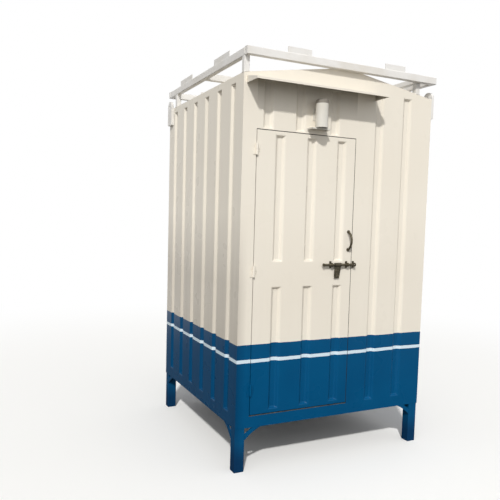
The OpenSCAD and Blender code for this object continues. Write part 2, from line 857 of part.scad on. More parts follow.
// Flat tongue that hangs from a sleeve on the bar.
module hasp() {
    sleeve_r = bar_r + hasp_t;
    foot_w = hasp_w - 10;
    color(dark_metal)
        translate([hasp_x, bar_y, bolt_z])
            difference() {
                union() {
                    translate([-hasp_w / 2, 0, 0])
                        rotate([0, 90, 0]) cylinder(r = sleeve_r, h = hasp_w, $fn = 64);
                    rotate([90 + hasp_lean, 0, 0])
                        translate([0, 0, -hasp_t / 2])
                            linear_extrude(height = hasp_t)
                                difference() {
                                    polygon([[-hasp_w / 2, 0], [hasp_w / 2, 0],
                                             [foot_w / 2, -hasp_l], [-foot_w / 2, -hasp_l]]);
                                    translate([0, 14 - hasp_l]) circle(r = 5, $fn = 48);
                                }
                }
                translate([-hasp_w, 0, 0])
                    rotate([0, 90, 0]) cylinder(r = bar_r + pin_play, h = 2 * hasp_w, $fn = 64);
            }
}

placed() post_front_left();
placed() post_front_right();
placed() post_rear_left();
placed() post_rear_right();
placed() bottom_rail_front();
placed() bottom_rail_rear();
placed() bottom_rail_left();
placed() bottom_rail_right();
placed() top_rails();
placed() floor_joists();
placed() floor_plate();
placed() leg_braces();
placed() left_wall();
placed() right_wall();
placed() rear_wall();
placed() front_strip();
placed() front_panel();
placed() front_header();
placed() front_gable();
placed() rear_gable();
placed() roof_left();
placed() roof_right();
placed() ridge_tube();
placed() door_frame();
placed() hood();
placed() lamp_bracket();
placed() lamp_barrel();
placed() lamp_collar();
placed() tank_end_tubes();
placed() tank_side_tubes();
placed() tank_cross_tube();
placed() tank_bearers();
placed() tank_posts();
placed() tank_cleats();
placed() lifting_lugs();
placed() hinges_frame_half();
placed() bolt_keeper();
placed() door_leaf_frame();
placed() door_skin();
placed() hinges_door_half();
placed() pull_handle();
placed() bolt_loops();
placed() bolt_bar();
placed() hasp();
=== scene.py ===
# %% [markdown]
# # A small steel toilet cabin
# The cabin's steel is built already: sheets, tubes, door, bolt, lamp and roof frame arrive
# as fixed bodies. This script gives that steel what a workshop adds last: rolled folds,
# weld beads, screws and enamel, and then stands it in plain soft light. Everything is in
# metres, with X to the right along the front, Y to the rear and Z up from the ground.

# %% Load the built cabin
import json
import math
import bpy
import bmesh
from mathutils import Matrix, Vector


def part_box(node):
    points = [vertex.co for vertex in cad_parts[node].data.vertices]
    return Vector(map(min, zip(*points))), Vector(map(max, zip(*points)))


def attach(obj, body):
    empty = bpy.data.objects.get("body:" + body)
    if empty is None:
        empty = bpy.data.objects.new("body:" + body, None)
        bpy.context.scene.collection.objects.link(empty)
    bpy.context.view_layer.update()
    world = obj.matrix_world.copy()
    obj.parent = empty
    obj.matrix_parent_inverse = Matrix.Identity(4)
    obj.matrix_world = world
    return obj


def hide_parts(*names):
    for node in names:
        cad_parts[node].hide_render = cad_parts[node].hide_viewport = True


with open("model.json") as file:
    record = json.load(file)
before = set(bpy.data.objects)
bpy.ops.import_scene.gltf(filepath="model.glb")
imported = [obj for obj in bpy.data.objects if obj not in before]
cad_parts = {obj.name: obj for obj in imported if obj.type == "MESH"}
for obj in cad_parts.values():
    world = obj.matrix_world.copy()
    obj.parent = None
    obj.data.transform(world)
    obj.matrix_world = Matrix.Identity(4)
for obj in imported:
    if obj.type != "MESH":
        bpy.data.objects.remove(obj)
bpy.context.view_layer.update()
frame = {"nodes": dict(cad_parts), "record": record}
nodes = frame["nodes"]

# %% [markdown]
# ## Camera
# A cabin is taller than a person, so it is seen from a little above half its height and
# from the left of the door. The lens is a moderate one, and the small shift keeps the
# walls nearly upright, as a picture taken with a level camera has them. A camera can be
# aimed with a tracking constraint, but a plain rotation built from yaw, pitch and roll is
# easier to read and never moves again.

# %% Camera
CAMERA_PLACE = Vector((-2.2673, -3.9081, 1.6530))
YAW = 0.4458
PITCH = -0.0735
ROLL = 0.0268
SENSOR_WIDTH = 36
LENS = 40.62
SHIFT = (0.0108, 0.0218)


def camera_axes(yaw, pitch, roll):
    """Right, up and forward of a camera that stands level at roll 0."""
    forward = Vector((math.sin(yaw) * math.cos(pitch), math.cos(yaw) * math.cos(pitch),
                      math.sin(pitch)))
    level = Vector((math.cos(yaw), -math.sin(yaw), 0))
    upright = level.cross(forward)
    right = level * math.cos(roll) + upright * math.sin(roll)
    up = upright * math.cos(roll) - level * math.sin(roll)
    return right, up, forward


right, up, forward = camera_axes(YAW, PITCH, ROLL)
camera_data = bpy.data.cameras.new("camera")
camera_data.sensor_width = SENSOR_WIDTH
camera_data.lens = LENS
camera_data.shift_x, camera_data.shift_y = SHIFT
camera = bpy.data.objects.new("camera", camera_data)
turn = Matrix((right, up, -forward)).transposed().to_4x4()
camera.matrix_world = Matrix.Translation(CAMERA_PLACE) @ turn
bpy.context.scene.collection.objects.link(camera)
bpy.context.scene.camera = camera
print("camera looks along", [round(x, 3) for x in forward])

# %% [markdown]
# ## Two suns
# One sun from the front left does half of the work: it throws the hood's shadow on the
# wall. A second, very soft lamp lights the slope of every groove that faces front left. A
# sun is chosen over a lamp in a place, because its light comes at the same angle on the
# whole height of the cabin.

# %% Two suns
SUNLIGHT = (1.0, 0.985, 0.955)
SUN_TRAVEL = Vector((0.41, 0.67, -0.70))
SUN_STRENGTH = 2.55
SUN_SPREAD = 3
SOFT_TRAVEL = Vector((0.65, 0.72, -0.26))
SOFT_STRENGTH = 0.30
SOFT_SPREAD = 50


def add_sun(name, travel, strength, spread_angle):
    """A lamp whose light travels one way everywhere; a wide spread softens its shadows."""
    data = bpy.data.lights.new(name, "SUN")
    data.energy = strength
    data.angle = math.radians(spread_angle)
    data.color = SUNLIGHT
    lamp = bpy.data.objects.new(name, data)
    lamp.rotation_euler = travel.to_track_quat("-Z", "Y").to_euler()
    bpy.context.scene.collection.objects.link(lamp)


add_sun("sun", SUN_TRAVEL, SUN_STRENGTH, SUN_SPREAD)
add_sun("soft_lamp", SOFT_TRAVEL, SOFT_STRENGTH, SOFT_SPREAD)
print("sun strength", SUN_STRENGTH, "| soft lamp strength", SOFT_STRENGTH)

# %% [markdown]
# ## Node helpers
# A material or a world is a tree of small nodes. Adding one by hand takes a line for the
# node and one more for each socket, so a helper does it in one call. A value that is
# another node's output is linked, and any other value is written into the socket. The
# second helper tells apart the rays that see a surface from those that only light it.

# %% Node helpers
def add(tree, kind, settings=None, inputs=(), **sockets):
    """Adds a node, sets its fields, and links or fills its sockets by name or in order."""
    made = tree.nodes.new(kind)
    for key, value in (settings or {}).items():
        setattr(made, key, value)
    pairs = [(made.inputs[i], v) for i, v in enumerate(inputs)]
    pairs += [(made.inputs[key.replace("_", " ")], v) for key, v in sockets.items()]
    for socket, value in pairs:
        if isinstance(value, bpy.types.NodeSocket):
            tree.links.new(value, socket)
        else:
            socket.default_value = value
    return made


def calculate(tree, operation, *values):
    """One step of arithmetic on values."""
    return add(tree, "ShaderNodeMath", {"operation": operation}, values).outputs[0]


def seen_directly(tree):
    """1 for rays from the camera, from gloss and through glass, 0 for the light on surfaces."""
    path = add(tree, "ShaderNodeLightPath").outputs
    gloss = calculate(tree, "MAXIMUM", path["Is Camera Ray"], path["Is Glossy Ray"])
    return calculate(tree, "MAXIMUM", gloss, path["Is Transmission Ray"])


print("helpers for nodes are ready")

# %% [markdown]
# ## World
# The world does the other half of the lighting. A yard with buildings round it is not
# equally bright on all sides, so the fill comes mostly from the front and leaves the side
# walls a tone darker. Where the camera, gloss or glass sees the world its strength is 1,
# which gives a white background without any more light on the paint.

# %% World
WHITE = (1, 1, 1, 1)
FILL_COLOUR = (0.97, 0.98, 1.0, 1)
FILL_FROM = Vector((0.17, -0.95, 0.25)).normalized()
FILL_TURN = (-0.8, 0.9)
FILL_RANGE = (0.22, 0.62)


def light_the_world():
    """Fill light that is strongest from one side, and plain white where it is seen."""
    world = bpy.data.worlds.new("world")
    world.use_nodes = True
    bpy.context.scene.world = world
    tree = world.node_tree
    tree.nodes.clear()
    sky_way = add(tree, "ShaderNodeTexCoord").outputs["Generated"]
    toward = add(tree, "ShaderNodeVectorMath", {"operation": "DOT_PRODUCT"},
                 [sky_way, FILL_FROM]).outputs["Value"]
    strength = add(tree, "ShaderNodeMapRange", {"interpolation_type": "SMOOTHSTEP"},
                   Value=toward, From_Min=FILL_TURN[0], From_Max=FILL_TURN[1],
                   To_Min=FILL_RANGE[0], To_Max=FILL_RANGE[1]).outputs["Result"]
    fill = add(tree, "ShaderNodeBackground", Color=FILL_COLOUR, Strength=strength)
    white = add(tree, "ShaderNodeBackground", Color=WHITE, Strength=1.0)
    mixed = add(tree, "ShaderNodeMixShader",
                inputs=[seen_directly(tree), fill.outputs[0], white.outputs[0]])
    add(tree, "ShaderNodeOutputWorld", Surface=mixed.outputs[0])


light_the_world()
bpy.context.scene.view_settings.view_transform = "Standard"
print("fill light between", FILL_RANGE[0], "and", FILL_RANGE[1])

# %% [markdown]
# ## Floor
# A plain pale floor takes the cabin's shadow. Far away it turns into the white of the
# world, so that no horizon line shows. A pale floor throws much light back up, more than
# a dusty yard does, so the light that it passes on to the steel is that of a darker one.

# %% Floor
FLOOR_RADIUS = 14.0
FLOOR_FADE = (3.0, 7.0)
FLOOR_PALE = (0.95, 0.95, 0.94, 1)
FLOOR_BOUNCE = (0.18, 0.172, 0.158, 1)


def mix(tree, share, a, b):
    """Mixes two colours."""
    made = add(tree, "ShaderNodeMix", {"data_type": "RGBA"})
    for socket, value in ((made.inputs[0], share), (made.inputs[6], a), (made.inputs[7], b)):
        if isinstance(value, bpy.types.NodeSocket):
            tree.links.new(value, socket)
        else:
            socket.default_value = value
    return made.outputs[2]


def start_material(name):
    """A material with an empty tree, and the place on the piece that its patterns follow."""
    material = bpy.data.materials.new(name)
    material.use_nodes = True
    tree = material.node_tree
    tree.nodes.clear()
    place = add(tree, "ShaderNodeTexCoord").outputs["Object"]
    return material, tree, place


def pale_floor():
    """Matt and pale near the cabin, white far away, and darker for the light it passes on."""
    material, tree, place = start_material("pale_floor")
    reach = add(tree, "ShaderNodeVectorMath", {"operation": "LENGTH"}, [place]).outputs["Value"]
    far = add(tree, "ShaderNodeMapRange", {"interpolation_type": "SMOOTHSTEP"},
              Value=reach, From_Min=FLOOR_FADE[0], From_Max=FLOOR_FADE[1]).outputs["Result"]
    share = calculate(tree, "MULTIPLY", far, seen_directly(tree))
    from_camera = add(tree, "ShaderNodeLightPath").outputs["Is Camera Ray"]
    matt = add(tree, "ShaderNodeBsdfDiffuse",
               Color=mix(tree, from_camera, FLOOR_BOUNCE, FLOOR_PALE))
    glow = add(tree, "ShaderNodeEmission", Color=WHITE, Strength=1.0)
    mixed = add(tree, "ShaderNodeMixShader", inputs=[share, matt.outputs[0], glow.outputs[0]])
    add(tree, "ShaderNodeOutputMaterial", Surface=mixed.outputs[0])
    return material


def make_floor():
    """A round floor that is not part of the cabin."""
    bm = bmesh.new()
    bmesh.ops.create_circle(bm, cap_ends=True, segments=96, radius=FLOOR_RADIUS)
    mesh = bpy.data.meshes.new("floor")
    bm.to_mesh(mesh)
    bm.free()
    floor = bpy.data.objects.new("floor", mesh)
    bpy.context.scene.collection.objects.link(floor)
    floor.data.materials.append(pale_floor())


make_floor()
print("floor radius", FLOOR_RADIUS)

# %% [markdown]
# ## Patterns and relief
# Paint is never one flat colour. Every finish here is drawn by noise on the piece's own
# coordinates, so it stays in place when the door swings. These helpers give the noise, map
# it to the range that a socket needs, stack bumps of several sizes and close the tree.
# They are short on purpose, because each finish after this uses them several times.

# %% Patterns and relief
def noise(tree, place, scale, detail=3.0, rough=0.5, stretch=None):
    """Noise on the piece's own coordinates, about 0.5."""
    if stretch:
        place = add(tree, "ShaderNodeMapping", Vector=place, Scale=stretch).outputs[0]
    return add(tree, "ShaderNodeTexNoise", Vector=place, Scale=scale, Detail=detail,
               Roughness=rough).outputs["Fac"]


def spread(tree, value, low, high, to_low=0.0, to_high=1.0):
    """Maps a range of a value to another range, and clamps it there."""
    return add(tree, "ShaderNodeMapRange", Value=value, From_Min=low, From_Max=high,
               To_Min=to_low, To_Max=to_high).outputs["Result"]


def axes_of(tree, vector):
    """The three parts of a vector, by name."""
    return add(tree, "ShaderNodeSeparateXYZ", Vector=vector).outputs


def bumps(tree, *layers):
    """Stacks bump layers, each a (height, distance) pair, and returns the last normal."""
    normal = None
    for height, distance in layers:
        made = add(tree, "ShaderNodeBump", Height=height, Distance=distance, Strength=1.0)
        if normal:
            tree.links.new(normal, made.inputs["Normal"])
        normal = made.outputs[0]
    return normal


def surface(tree, **sockets):
    """Closes the tree with one Principled shader."""
    shader = add(tree, "ShaderNodeBsdfPrincipled", **sockets)
    add(tree, "ShaderNodeOutputMaterial", Surface=shader.outputs[0])
    return shader


PAINT_IOR = 1.45
print("helpers for patterns are ready")

# %% [markdown]
# ## Two coats
# The cabin wears two coats of gloss enamel: blue to just above the rails and cream over
# it, with one thin pale line. The painter masked those edges level all round, also on the
# door, so the colour follows height alone. Layers come on top of the coats: a painted
# reflection of dark surroundings, darker low on the left side; dust that lies on whatever
# faces up, which is also painted shade that tones down the sunlit tops; painted shade
# under the hood; and a darker blue towards the feet. Each layer is a colour and the heights
# or the share at which it shows, which is easier to tune than a painted texture.

# %% Colours and heights of the coats
BLUE_TOP = 0.8435
LINE_MIDDLE = 0.735
LINE_HALF = 0.0115
LINE_WAVER = 0.0012
LINE_COLOUR = (0.66, 0.78, 0.86, 1)
CREAM = (0.85, 0.797, 0.70, 1)
CREAM_AGED = (0.835, 0.777, 0.675, 1)
BLUE = (0.0002, 0.081, 0.204, 1)
BLUE_DARK = (0.0002, 0.070, 0.183, 1)
BLUE_REFLECTING_DARK = (0.0002, 0.050, 0.135, 1)
# Painted reflection: dark surroundings in the gloss make the left side darker low down, cream and
# blue.
DARK_REFLECTION = (0.585, 0.54, 0.47, 1)
DARK_REFLECTION_HEIGHTS = (1.22, 1.70)
REFLECTION_SIDE = (-0.762, -0.700)
STREAKED = (14.0, 14.0, 0.7)
# Painted shade under the hood: the header grows darker towards the hood's root.
UNDER_HOOD_SHADE = (0.36, 0.33, 0.275, 1)
UNDER_HOOD_SHADE_HEIGHTS = (2.37, 2.49)
HOOD_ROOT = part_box("hood")[1][2]
# Dust on faces that look up, which is also painted shade that tones down the sunlit tops.
DUST_AND_TOP_SHADE = (0.63, 0.59, 0.51, 1)
FACING_UP = (0.6, 0.95)
# A darker blue towards the feet.
LOW_BLUE = (0.0005, 0.016, 0.060, 1)
LOW_BLUE_HEIGHTS = (0.08, 0.20)
LOW_BLUE_SHARE = 0.68
print("coats: blue up to", BLUE_TOP, "m, line at", LINE_MIDDLE, "m")

# %% [markdown]
# ## How the coats are laid
# The two coats could be two materials on separate faces, but then every sheet, tube and
# hinge would have to be cut at the masked edge. One tree that compares the height with the
# edge needs no cut, and it lets the edge waver by a millimetre as masking tape does.

# %% Lay the coats
def cream_coat(tree, place, height, dark_reflection, streaks, under_hood_shade):
    """Upper coat: painted reflection, painted shade under the hood, dust and painted shade on
    tops.
    """
    aged = spread(tree, noise(tree, place, 1.6, 1.0), 0.4, 0.75)
    cream = mix(tree, dark_reflection, mix(tree, aged, CREAM, CREAM_AGED), DARK_REFLECTION)
    # Painted shade under the hood, growing towards its root and cut off above it.
    if under_hood_shade:
        under_hood = calculate(tree, "MULTIPLY",
                               spread(tree, height, *UNDER_HOOD_SHADE_HEIGHTS, 0.0, under_hood_shade),
                               spread(tree, height, HOOD_ROOT - 0.002, HOOD_ROOT, 1.0, 0.0))
        cream = mix(tree, calculate(tree, "MULTIPLY", under_hood, streaks), cream, UNDER_HOOD_SHADE)
    # Dust and painted shade on faces that look up.
    facing = add(tree, "ShaderNodeTexCoord").outputs["Normal"]
    dust_and_top_shade = spread(tree, axes_of(tree, facing)["Z"], *FACING_UP, 0.0, 0.8)
    return mix(tree, dust_and_top_shade, cream, DUST_AND_TOP_SHADE)


def blue_coat(tree, place, height, dark_reflection):
    """The lower coat, with painted reflection low on the left side, darker towards the feet."""
    uneven = spread(tree, noise(tree, place, 3.5), 0.35, 0.7)
    blue = mix(tree, dark_reflection, mix(tree, uneven, BLUE, BLUE_DARK), BLUE_REFLECTING_DARK)
    return mix(tree, spread(tree, height, *LOW_BLUE_HEIGHTS, LOW_BLUE_SHARE, 0.0), blue, LOW_BLUE)


def two_coats(tree, place, under_hood_shade=0.0):
    """Colour by height: blue, pale line, blue, cream. The masked edges waver a little."""
    axes = axes_of(tree, place)
    waver = spread(tree, noise(tree, place, 9.0), 0.3, 0.7, -LINE_WAVER, LINE_WAVER)
    height = calculate(tree, "ADD", axes["Z"], waver)
    streaks = spread(tree, noise(tree, place, 1.0, stretch=STREAKED), 0.3, 0.7, 0.75, 1.0)
    # Painted reflection of dark surroundings, darker low on the left side.
    left_side = spread(tree, axes["X"], *REFLECTION_SIDE, 1.0, 0.15)
    low_down = spread(tree, height, *DARK_REFLECTION_HEIGHTS, 1.0, 0.0)
    dark_reflection = calculate(tree, "MULTIPLY", calculate(tree, "MULTIPLY", left_side, low_down), streaks)
    colour = mix(tree, calculate(tree, "GREATER_THAN", height, BLUE_TOP),
                 blue_coat(tree, place, height, dark_reflection),
                 cream_coat(tree, place, height, dark_reflection, streaks, under_hood_shade))
    return mix(tree, calculate(tree, "COMPARE", height, LINE_MIDDLE, LINE_HALF), colour,
               LINE_COLOUR)


print("the masked edges waver by", LINE_WAVER, "m")

# %% [markdown]
# ## Enamel
# Enamel rolled on thin sheet is never quite flat: a broad upright noise makes the sheet
# belly a little, and a fine one is the paint's own skin. The gloss is uneven too, and
# almost gone on the feet. Three versions share this recipe. The one on the header adds
# painted shade under the hood, and the one on the posts turns plain grey where a post stands
# inside the room.

# %% Enamel
ROOM_GREY = (0.62, 0.60, 0.55, 1)
ROOM_GREY_AGED = (0.54, 0.51, 0.45, 1)
ROOM_HALVES = [edge - 0.004 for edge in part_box("post_rear_right")[1][:2]]
ROOM_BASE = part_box("floor_plate")[1][2]
ROOM_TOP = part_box("post_rear_right")[1][2] - 0.05
BELLY = (11.0, 11.0, 0.6)
BELLY_DEPTH = 0.0008
SKIN_DEPTH = 0.00003
ENAMEL_SHEEN = 0.15
MUD_HEIGHTS = (0.12, 0.30)


def in_room(tree, place):
    """One where a face stands in the room: over the floor and within the outer faces."""
    axes = axes_of(tree, place)
    share = calculate(tree, "COMPARE", axes["Z"], (ROOM_BASE + ROOM_TOP) / 2,
                      (ROOM_TOP - ROOM_BASE) / 2)
    for axis, half in zip("XY", ROOM_HALVES):
        off = calculate(tree, "ABSOLUTE", axes[axis])
        share = calculate(tree, "MULTIPLY", share, calculate(tree, "LESS_THAN", off, half))
    return share


def enamel(name="enamel", under_hood_shade=0.0, room=False):
    """Gloss enamel in two coats on bare sheet and tube; the feet are dull with mud."""
    material, tree, place = start_material(name)
    colour = two_coats(tree, place, under_hood_shade)
    if room:
        colour = mix(tree, in_room(tree, place), colour, ROOM_GREY)
    skin = spread(tree, noise(tree, place, 160.0), 0.3, 0.7)
    belly = spread(tree, noise(tree, place, 1.0, 1.0, 0.5, BELLY), 0.2, 0.8)
    gloss = spread(tree, noise(tree, place, 5.0, 2.0), 0.3, 0.7, 0.26, 0.32)
    muddy = spread(tree, axes_of(tree, place)["Z"], *MUD_HEIGHTS, 0.5, 0.0)
    shader = surface(tree, Base_Color=colour, IOR=PAINT_IOR,
                     Roughness=calculate(tree, "ADD", gloss, muddy),
                     Normal=bumps(tree, (belly, BELLY_DEPTH), (skin, SKIN_DEPTH)))
    shader.inputs["Specular IOR Level"].default_value = ENAMEL_SHEEN
    return material


enamel_paint = enamel()
# The header carries the painted shade under the hood.
header_paint = enamel("header_enamel", under_hood_shade=0.5)
post_paint = enamel("post_enamel", room=True)
print("enamels:", ", ".join(m.name for m in (enamel_paint, header_paint, post_paint)))

# %% [markdown]
# ## Plain coats
# The roof frame has one coat of white, the inside of the cabin a plain grey, and the
# underside of the hood a dark brown that is painted shade. They differ only in colour and
# gloss, so one function makes all three.

# %% Plain coats
def plain_paint(name, colour, aged, low, high):
    """One coat of paint that has yellowed a little in patches."""
    material, tree, place = start_material(name)
    patches = spread(tree, noise(tree, place, 5.0), 0.4, 0.7)
    skin = spread(tree, noise(tree, place, 220.0), 0.3, 0.7)
    gloss = spread(tree, noise(tree, place, 14.0, 4.0), 0.3, 0.7, low, high)
    surface(tree, Base_Color=mix(tree, patches, colour, aged), Roughness=gloss,
            IOR=PAINT_IOR, Normal=bumps(tree, (skin, 0.00006)))
    return material


frame_paint = plain_paint("frame_paint", (0.80, 0.785, 0.76, 1), (0.72, 0.69, 0.64, 1),
                          0.3, 0.45)
# Painted shade: dark brown on the inside and underside of the hood.
hood_underside_shade = plain_paint("hood_underside_shade", (0.54, 0.505, 0.43, 1), (0.45, 0.415, 0.345, 1),
                          0.4, 0.55)
inner_paint = plain_paint("inner_paint", ROOM_GREY, ROOM_GREY_AGED, 0.45, 0.6)
print("plain coats:", frame_paint.name, hood_underside_shade.name, inner_paint.name)

# %% [markdown]
# ## Bare metal
# The floor plate is bare and scratched by feet, so its noise is drawn out along one way.
# The bolt and the handle are blackened iron that hands have rubbed brown in patches. Both
# are metals in the shader too, because paint and metal take their shine differently.

# %% Bare metal
STEEL = (0.26, 0.26, 0.255, 1)
STEEL_STAINED = (0.15, 0.13, 0.11, 1)
IRON = (0.085, 0.073, 0.048, 1)
IRON_RUBBED = (0.21, 0.175, 0.115, 1)


def bare_steel():
    """Floor plate worn by feet."""
    material, tree, place = start_material("worn_steel")
    stain = spread(tree, noise(tree, place, 6.0, 6.0, 0.6), 0.35, 0.7)
    scratch = noise(tree, place, 60.0, 3.0, 0.6, (1.0, 8.0, 1.0))
    surface(tree, Base_Color=mix(tree, stain, STEEL, STEEL_STAINED), Metallic=1.0,
            Roughness=spread(tree, scratch, 0.3, 0.7, 0.35, 0.6),
            Normal=bumps(tree, (scratch, 0.0001)))
    return material


def dark_metal():
    """Blackened ironmongery, rubbed to brown metal in patches."""
    material, tree, place = start_material("dark_metal")
    rubbed = spread(tree, noise(tree, place, 70.0, 5.0, 0.6), 0.52, 0.7)
    surface(tree, Base_Color=mix(tree, rubbed, IRON, IRON_RUBBED), Metallic=0.7,
            Roughness=spread(tree, rubbed, 0, 1, 0.5, 0.34),
            Normal=bumps(tree, (rubbed, 0.0001)))
    return material


floor_steel = bare_steel()
iron = dark_metal()
print("metals:", floor_steel.name, iron.name)

# %% [markdown]
# ## Lamp and door frame
# The lamp's shade has its own pale enamel, and the hood's shadow is painted on its top in
# dark grey. The gap round the door is painted shade, nearly black. On the frame that is a
# matter of depth: only the part behind the face of the door is black, and the rest wears
# the two coats. Both could be cut into separate pieces, but a step in the colour is enough
# where no edge shows.

# %% Lamp and door frame
# Painted shadow: the hood's shadow on the top of the lamp, in dark grey.
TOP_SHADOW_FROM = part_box("lamp_barrel")[1][2] - 0.028
SHADE = (0.71, 0.685, 0.625, 1)
SHADE_AGED = (0.66, 0.63, 0.56, 1)
TOP_SHADOW = (0.27, 0.245, 0.21, 1)
TOP_SHADOW_DARKER = (0.20, 0.18, 0.15, 1)
# Painted shade in the gap round the door, nearly black.
GAP_SHADE = (0.03, 0.026, 0.02, 1)
GAP_SHADE_DEPTHS = (-0.655, -0.640)


def lamp_enamel():
    """Pale enamel on the lamp's shade, and the hood's shadow painted on its top."""
    material, tree, place = start_material("lamp_paint")
    # Painted shadow of the hood on the lamp's top.
    in_top_shadow = calculate(tree, "GREATER_THAN", axes_of(tree, place)["Z"], TOP_SHADOW_FROM)
    patches = spread(tree, noise(tree, place, 9.0), 0.4, 0.7)
    shade = mix(tree, patches, SHADE, SHADE_AGED)
    top_shadow = mix(tree, patches, TOP_SHADOW, TOP_SHADOW_DARKER)
    surface(tree, Base_Color=mix(tree, in_top_shadow, shade, top_shadow), IOR=PAINT_IOR,
            Roughness=spread(tree, in_top_shadow, 0, 1, 0.27, 0.5),
            Normal=bumps(tree, (spread(tree, noise(tree, place, 220.0), 0.3, 0.7), 0.00006)))
    return material


def door_frame_paint():
    """Two coats, and painted shade, nearly black, where the frame shows in the door's gap."""
    material, tree, place = start_material("door_frame_paint")
    # Painted shade where the frame lies behind the face of the door, in patches.
    in_gap = spread(tree, axes_of(tree, place)["Y"], *GAP_SHADE_DEPTHS, 1.0, 0.0)
    gap_shade_patches = spread(tree, noise(tree, place, 18.0, 4.0), 0.25, 0.55, 0.85, 1.0)
    share = calculate(tree, "MULTIPLY", in_gap, gap_shade_patches)
    surface(tree, Base_Color=mix(tree, share, two_coats(tree, place), GAP_SHADE),
            Roughness=0.6, IOR=PAINT_IOR,
            Normal=bumps(tree, (spread(tree, noise(tree, place, 90.0), 0.3, 0.7), 0.0001)))
    return material


lamp_paint = lamp_enamel()
gap_shade_paint = door_frame_paint()
print("lamp cap from", round(TOP_SHADOW_FROM, 3), "m up")

# %% [markdown]
# ## Finish of every built piece
# Each node that stays as it is gets the finish of its material slot, apart from the door
# frame and the posts, which have their own. The pieces that this script makes later carry
# the same finishes.

# %% Finish every built piece
FINISH = {
    "cream_enamel": enamel_paint,
    "blue_enamel": enamel_paint,
    "frame_white": frame_paint,
    "lamp_white": lamp_paint,
    "floor_steel": floor_steel,
    "dark_metal": iron,
}
slot_of = {s["node"]: s["material_slot"] for s in frame["record"]["subparts"]}
finish_of_node = {"door_frame": gap_shade_paint}
finish_of_node.update({name: post_paint for name in nodes if name.startswith("post_")})
for name, piece in nodes.items():
    piece.data.materials.clear()
    piece.data.materials.append(finish_of_node.get(name) or FINISH[slot_of[name]])
print("painted", len(nodes), "nodes")

# %% [markdown]
# ## From a built node to a piece
# The shape of a built node is never changed. To refine one, its loose triangles are copied
# and joined into whole faces, the copy is worked on, and the result stands for the node.
# These three helpers copy, roll chosen edges, and turn the result into a piece that rides
# on its body.

# %% Copy, roll and place
def merged_copy(node):
    """The node's triangles as a bmesh of whole faces."""
    bm = bmesh.new()
    bm.from_mesh(nodes[node].data)
    bmesh.ops.remove_doubles(bm, verts=bm.verts, dist=1e-5)
    bmesh.ops.dissolve_limit(bm, angle_limit=math.radians(0.5), verts=bm.verts, edges=bm.edges)
    return bm


def roll(bm, edges, size, steps):
    """Bevels some edges and shades only the new strips smooth."""
    made = bmesh.ops.bevel(bm, geom=edges, offset=size, offset_type="OFFSET", segments=steps,
                           profile=0.5, affect="EDGES", clamp_overlap=True, material=-1)
    for face in made["faces"]:
        face.smooth = True
    bm.normal_update()


def place_piece(name, bm, body, slot, *materials):
    """Turns a bmesh into a piece that rides on a body."""
    mesh = bpy.data.meshes.new(name)
    bm.to_mesh(mesh)
    bm.free()
    for material in materials:
        mesh.materials.append(material)
    piece = bpy.data.objects.new(name, mesh)
    bpy.context.scene.collection.objects.link(piece)
    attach(piece, body)
    return piece


print("helpers for pieces are ready")

# %% [markdown]
# ## Sheets with rolled folds
# A press leaves no knife edge: every fold of a groove is a small roll, and the built
# sheets have sharp folds. A Bevel modifier would be quicker, but it would round the
# sheet's own cut edges too, so the folds are picked by their angle and only they are
# bevelled. Only the rolls are shaded smooth, so the flat faces stay flat to their borders.
# The copy also carries a second paint, because the inside of the cabin is plain.

# %% Roll the folds
FOLD_SIZE = 0.006
FOLD_STEPS = 4
FOLD_ANGLES = (math.radians(15), math.radians(80))
LEFTWARD, RIGHTWARD = Vector((-1, 0, 0)), Vector((1, 0, 0))
FRONTWARD, REARWARD = Vector((0, -1, 0)), Vector((0, 1, 0))


def roll_folds(node, outward, body="cabin", paint=None):
    """Replaces a pressed sheet by one with rolled folds and a plain inner side."""
    bm = merged_copy(node)
    low, high = FOLD_ANGLES
    folds = [e for e in bm.edges if len(e.link_faces) == 2 and low < e.calc_face_angle() < high]
    roll(bm, folds, FOLD_SIZE, FOLD_STEPS)
    for face in bm.faces:
        if face.normal.dot(outward) < -0.1:
            face.material_index = 1
    piece = place_piece(node + "_sheet", bm, body, slot_of[node], paint or enamel_paint,
                        inner_paint)
    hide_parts(node)
    print(node, "rolled", len(folds), "folds into", len(piece.data.polygons), "faces")


roll_folds("left_wall", LEFTWARD)
roll_folds("right_wall", RIGHTWARD)
roll_folds("rear_wall", REARWARD)
roll_folds("front_panel", FRONTWARD)
roll_folds("front_header", FRONTWARD, paint=header_paint)
roll_folds("door_skin", FRONTWARD, "door")

# %% [markdown]
# ## Hood
# The hood is bent from one sheet, so its lip and cheeks meet the top in narrow rolls. Only
# the long outer edges roll; the rim of the open underside is a cut edge. A bend is told
# from a cut edge by its angle, and the outside of the sheet by the way its faces look.

# %% Hood
HOOD_ROLL = 0.0025
HOOD_STEPS = 3
BEND_ANGLES = (math.radians(60), math.radians(100))
FACING_DOWN = -0.5


def roll_hood():
    """Replaces the hood by one whose outer bends are rolled."""
    bm = merged_copy("hood")
    low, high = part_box("hood")
    middle = (Vector(low) + Vector(high)) / 2

    def outer(face):
        looks_out = face.normal.dot(face.calc_center_median() - middle) > 0
        return looks_out and face.normal.z > FACING_DOWN

    bends = [e for e in bm.edges if len(e.link_faces) == 2 and all(outer(f) for f in e.link_faces)
             and BEND_ANGLES[0] < e.calc_face_angle() < BEND_ANGLES[1]]
    roll(bm, bends, HOOD_ROLL, HOOD_STEPS)
    # Inner faces and faces that look down take the painted shade.
    for face in bm.faces:
        if not outer(face) or face.normal.z < FACING_DOWN:
            face.material_index = 1
    piece = place_piece("hood_sheet", bm, "cabin", slot_of["hood"], enamel_paint, hood_underside_shade)
    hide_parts("hood")
    print("hood: rolled", len(bends), "bends")


roll_hood()

